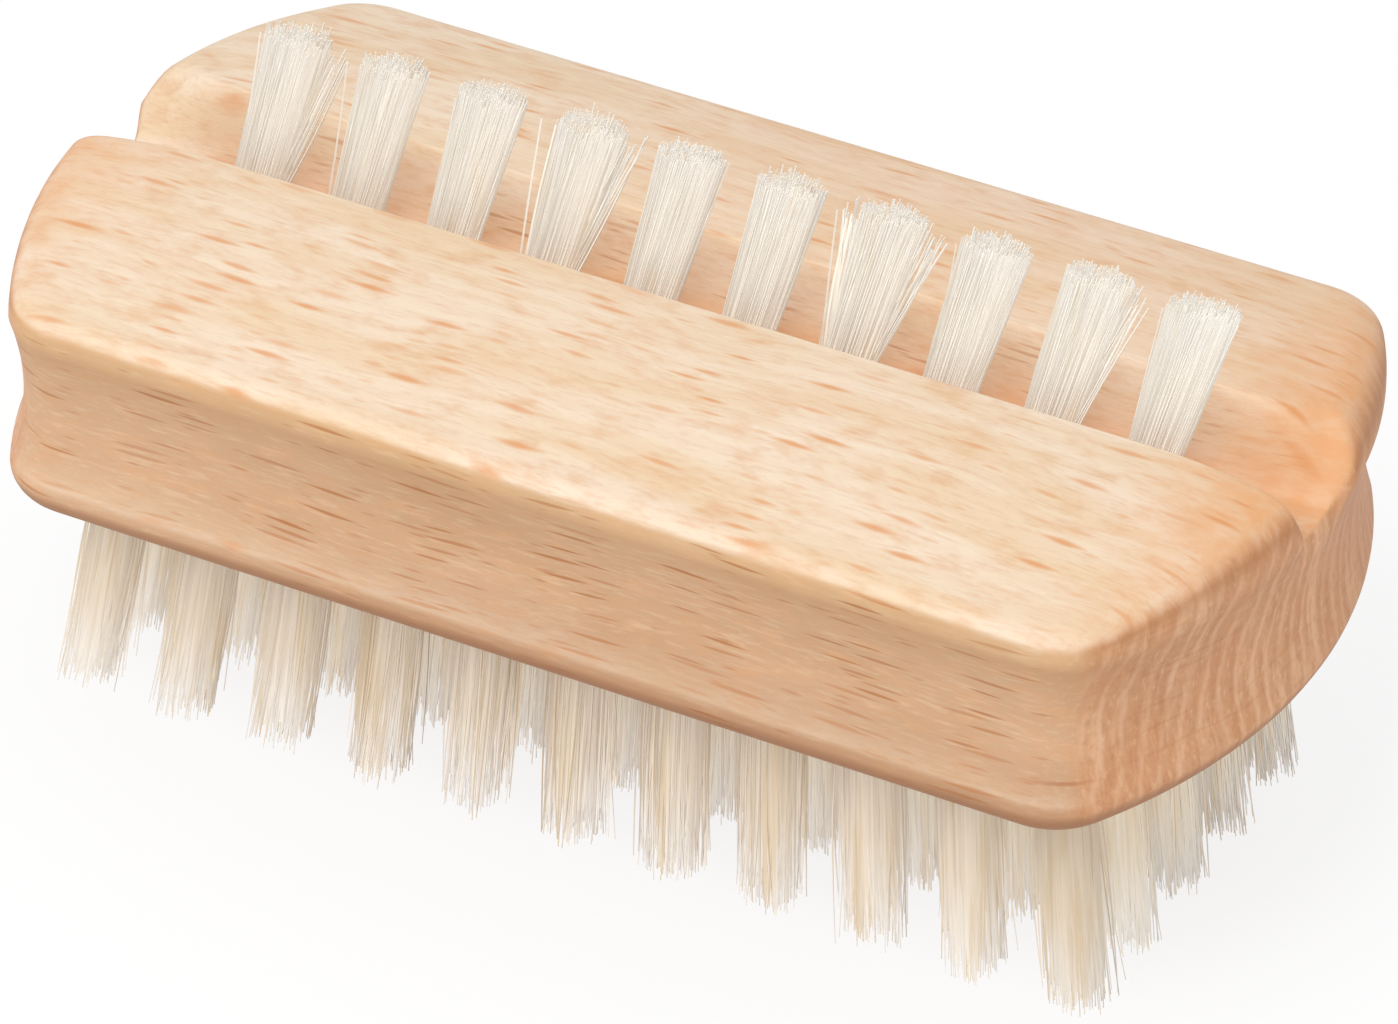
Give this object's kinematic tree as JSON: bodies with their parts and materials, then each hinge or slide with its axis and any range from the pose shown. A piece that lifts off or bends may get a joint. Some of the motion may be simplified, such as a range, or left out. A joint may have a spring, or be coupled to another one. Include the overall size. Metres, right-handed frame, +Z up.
{
  "type": "hand brush",
  "caption": "Double-sided wooden hand and nail brush: a grooved block with a splayed field of long pale tufts below and a row of short white tufts in a channel on top.",
  "frame": {"origin": "Bottom centre of the brush's bounding box, on the surface that the long tufts' tips stand on.", "axes": "+X along the block's length, the way the short top tufts lean; +Y across its width; +Z up, out of the channel that holds the top row."},
  "size_m": [0.095, 0.05, 0.0474],
  "materials": {
    "wood": "pale oiled beech, matt, with fine ray flecks along the grain",
    "field_bristle": "stiff natural bristle, pale horn beige",
    "top_bristle": "stiff bleached bristle, near white, slightly translucent",
    "anchor_metal": "plain flat wire, hidden in the holes"
  },
  "bodies": {
    "root": {"field_tuft_row1_col01": "field_bristle", "field_tuft_row1_col02": "field_bristle", "field_tuft_row1_col03": "field_bristle", "field_tuft_row1_col04": "field_bristle", "field_tuft_row1_col05": "field_bristle", "field_tuft_row1_col06": "field_bristle", "field_tuft_row1_col07": "field_bristle", "field_tuft_row1_col08": "field_bristle", "field_tuft_row1_col09": "field_bristle", "field_tuft_row1_col10": "field_bristle", "field_tuft_row1_col11": "field_bristle", "field_tuft_row2_col01": "field_bristle", "field_tuft_row2_col11": "field_bristle", "field_tuft_row3_col01": "field_bristle", "field_tuft_row3_col11": "field_bristle", "field_tuft_row4_col01": "field_bristle", "field_tuft_row4_col11": "field_bristle", "field_tuft_row5_col01": "field_bristle", "field_tuft_row5_col02": "field_bristle", "field_tuft_row5_col03": "field_bristle", "field_tuft_row5_col04": "field_bristle", "field_tuft_row5_col05": "field_bristle", "field_tuft_row5_col06": "field_bristle", "field_tuft_row5_col07": "field_bristle", "field_tuft_row5_col08": "field_bristle", "field_tuft_row5_col09": "field_bristle", "field_tuft_row5_col10": "field_bristle", "field_tuft_row5_col11": "field_bristle", "field_tufts_inner_col02": "field_bristle", "field_tufts_inner_col03": "field_bristle", "field_tufts_inner_col04": "field_bristle", "field_tufts_inner_col05": "field_bristle", "field_tufts_inner_col06": "field_bristle", "field_tufts_inner_col07": "field_bristle", "field_tufts_inner_col08": "field_bristle", "field_tufts_inner_col09": "field_bristle", "field_tufts_inner_col10": "field_bristle", "top_anchor_01": "anchor_metal", "top_anchor_02": "anchor_metal", "top_anchor_03": "anchor_metal", "top_anchor_04": "anchor_metal", "top_anchor_05": "anchor_metal", "top_anchor_06": "anchor_metal", "top_anchor_07": "anchor_metal", "top_anchor_08": "anchor_metal", "top_anchor_09": "anchor_metal", "top_anchor_10": "anchor_metal", "top_tuft_01": "top_bristle", "top_tuft_02": "top_bristle", "top_tuft_03": "top_bristle", "top_tuft_04": "top_bristle", "top_tuft_05": "top_bristle", "top_tuft_06": "top_bristle", "top_tuft_07": "top_bristle", "top_tuft_08": "top_bristle", "top_tuft_09": "top_bristle", "top_tuft_10": "top_bristle", "wooden_block": "wood"}
  },
  "joints": []
}
